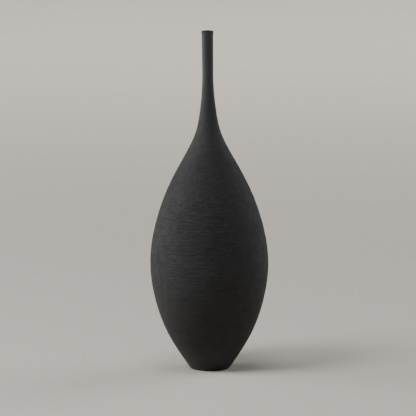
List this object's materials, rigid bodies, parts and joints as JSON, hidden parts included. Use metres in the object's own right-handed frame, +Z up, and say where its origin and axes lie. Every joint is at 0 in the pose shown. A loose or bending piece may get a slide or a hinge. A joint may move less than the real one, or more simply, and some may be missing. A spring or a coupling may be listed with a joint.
{
  "type": "bottle vase",
  "caption": "Tall matt black clay bottle with a spindle-shaped belly, a thin straight neck and a small flat foot, for a dried stem or for display.",
  "frame": {"origin": "middle of the underside of the base slab, on the surface that the pot stands on", "axes": "+Z up along the pot's axis, from foot to mouth; the pot is round about +Z, so +X and +Y are equivalent"},
  "size_m": [0.1664, 0.1664, 0.48],
  "materials": {
    "combed_clay": "matt reduction-fired black clay with fine combed turning lines",
    "smooth_clay": "the same clay wiped smooth, with a faint satin sheen",
    "raw_clay": "the same clay left raw, dry and slightly grainy"
  },
  "bodies": {
    "root": {"base_slab": "raw_clay", "base_inner_coil": "raw_clay", "bowl_wall": "combed_clay", "wall_course_1": "combed_clay", "wall_course_2": "combed_clay", "wall_course_3": "combed_clay", "wall_course_4": "combed_clay", "shoulder_course": "combed_clay", "neck_collar": "smooth_clay", "neck_tube": "smooth_clay", "lip_ring": "smooth_clay"}
  },
  "joints": []
}
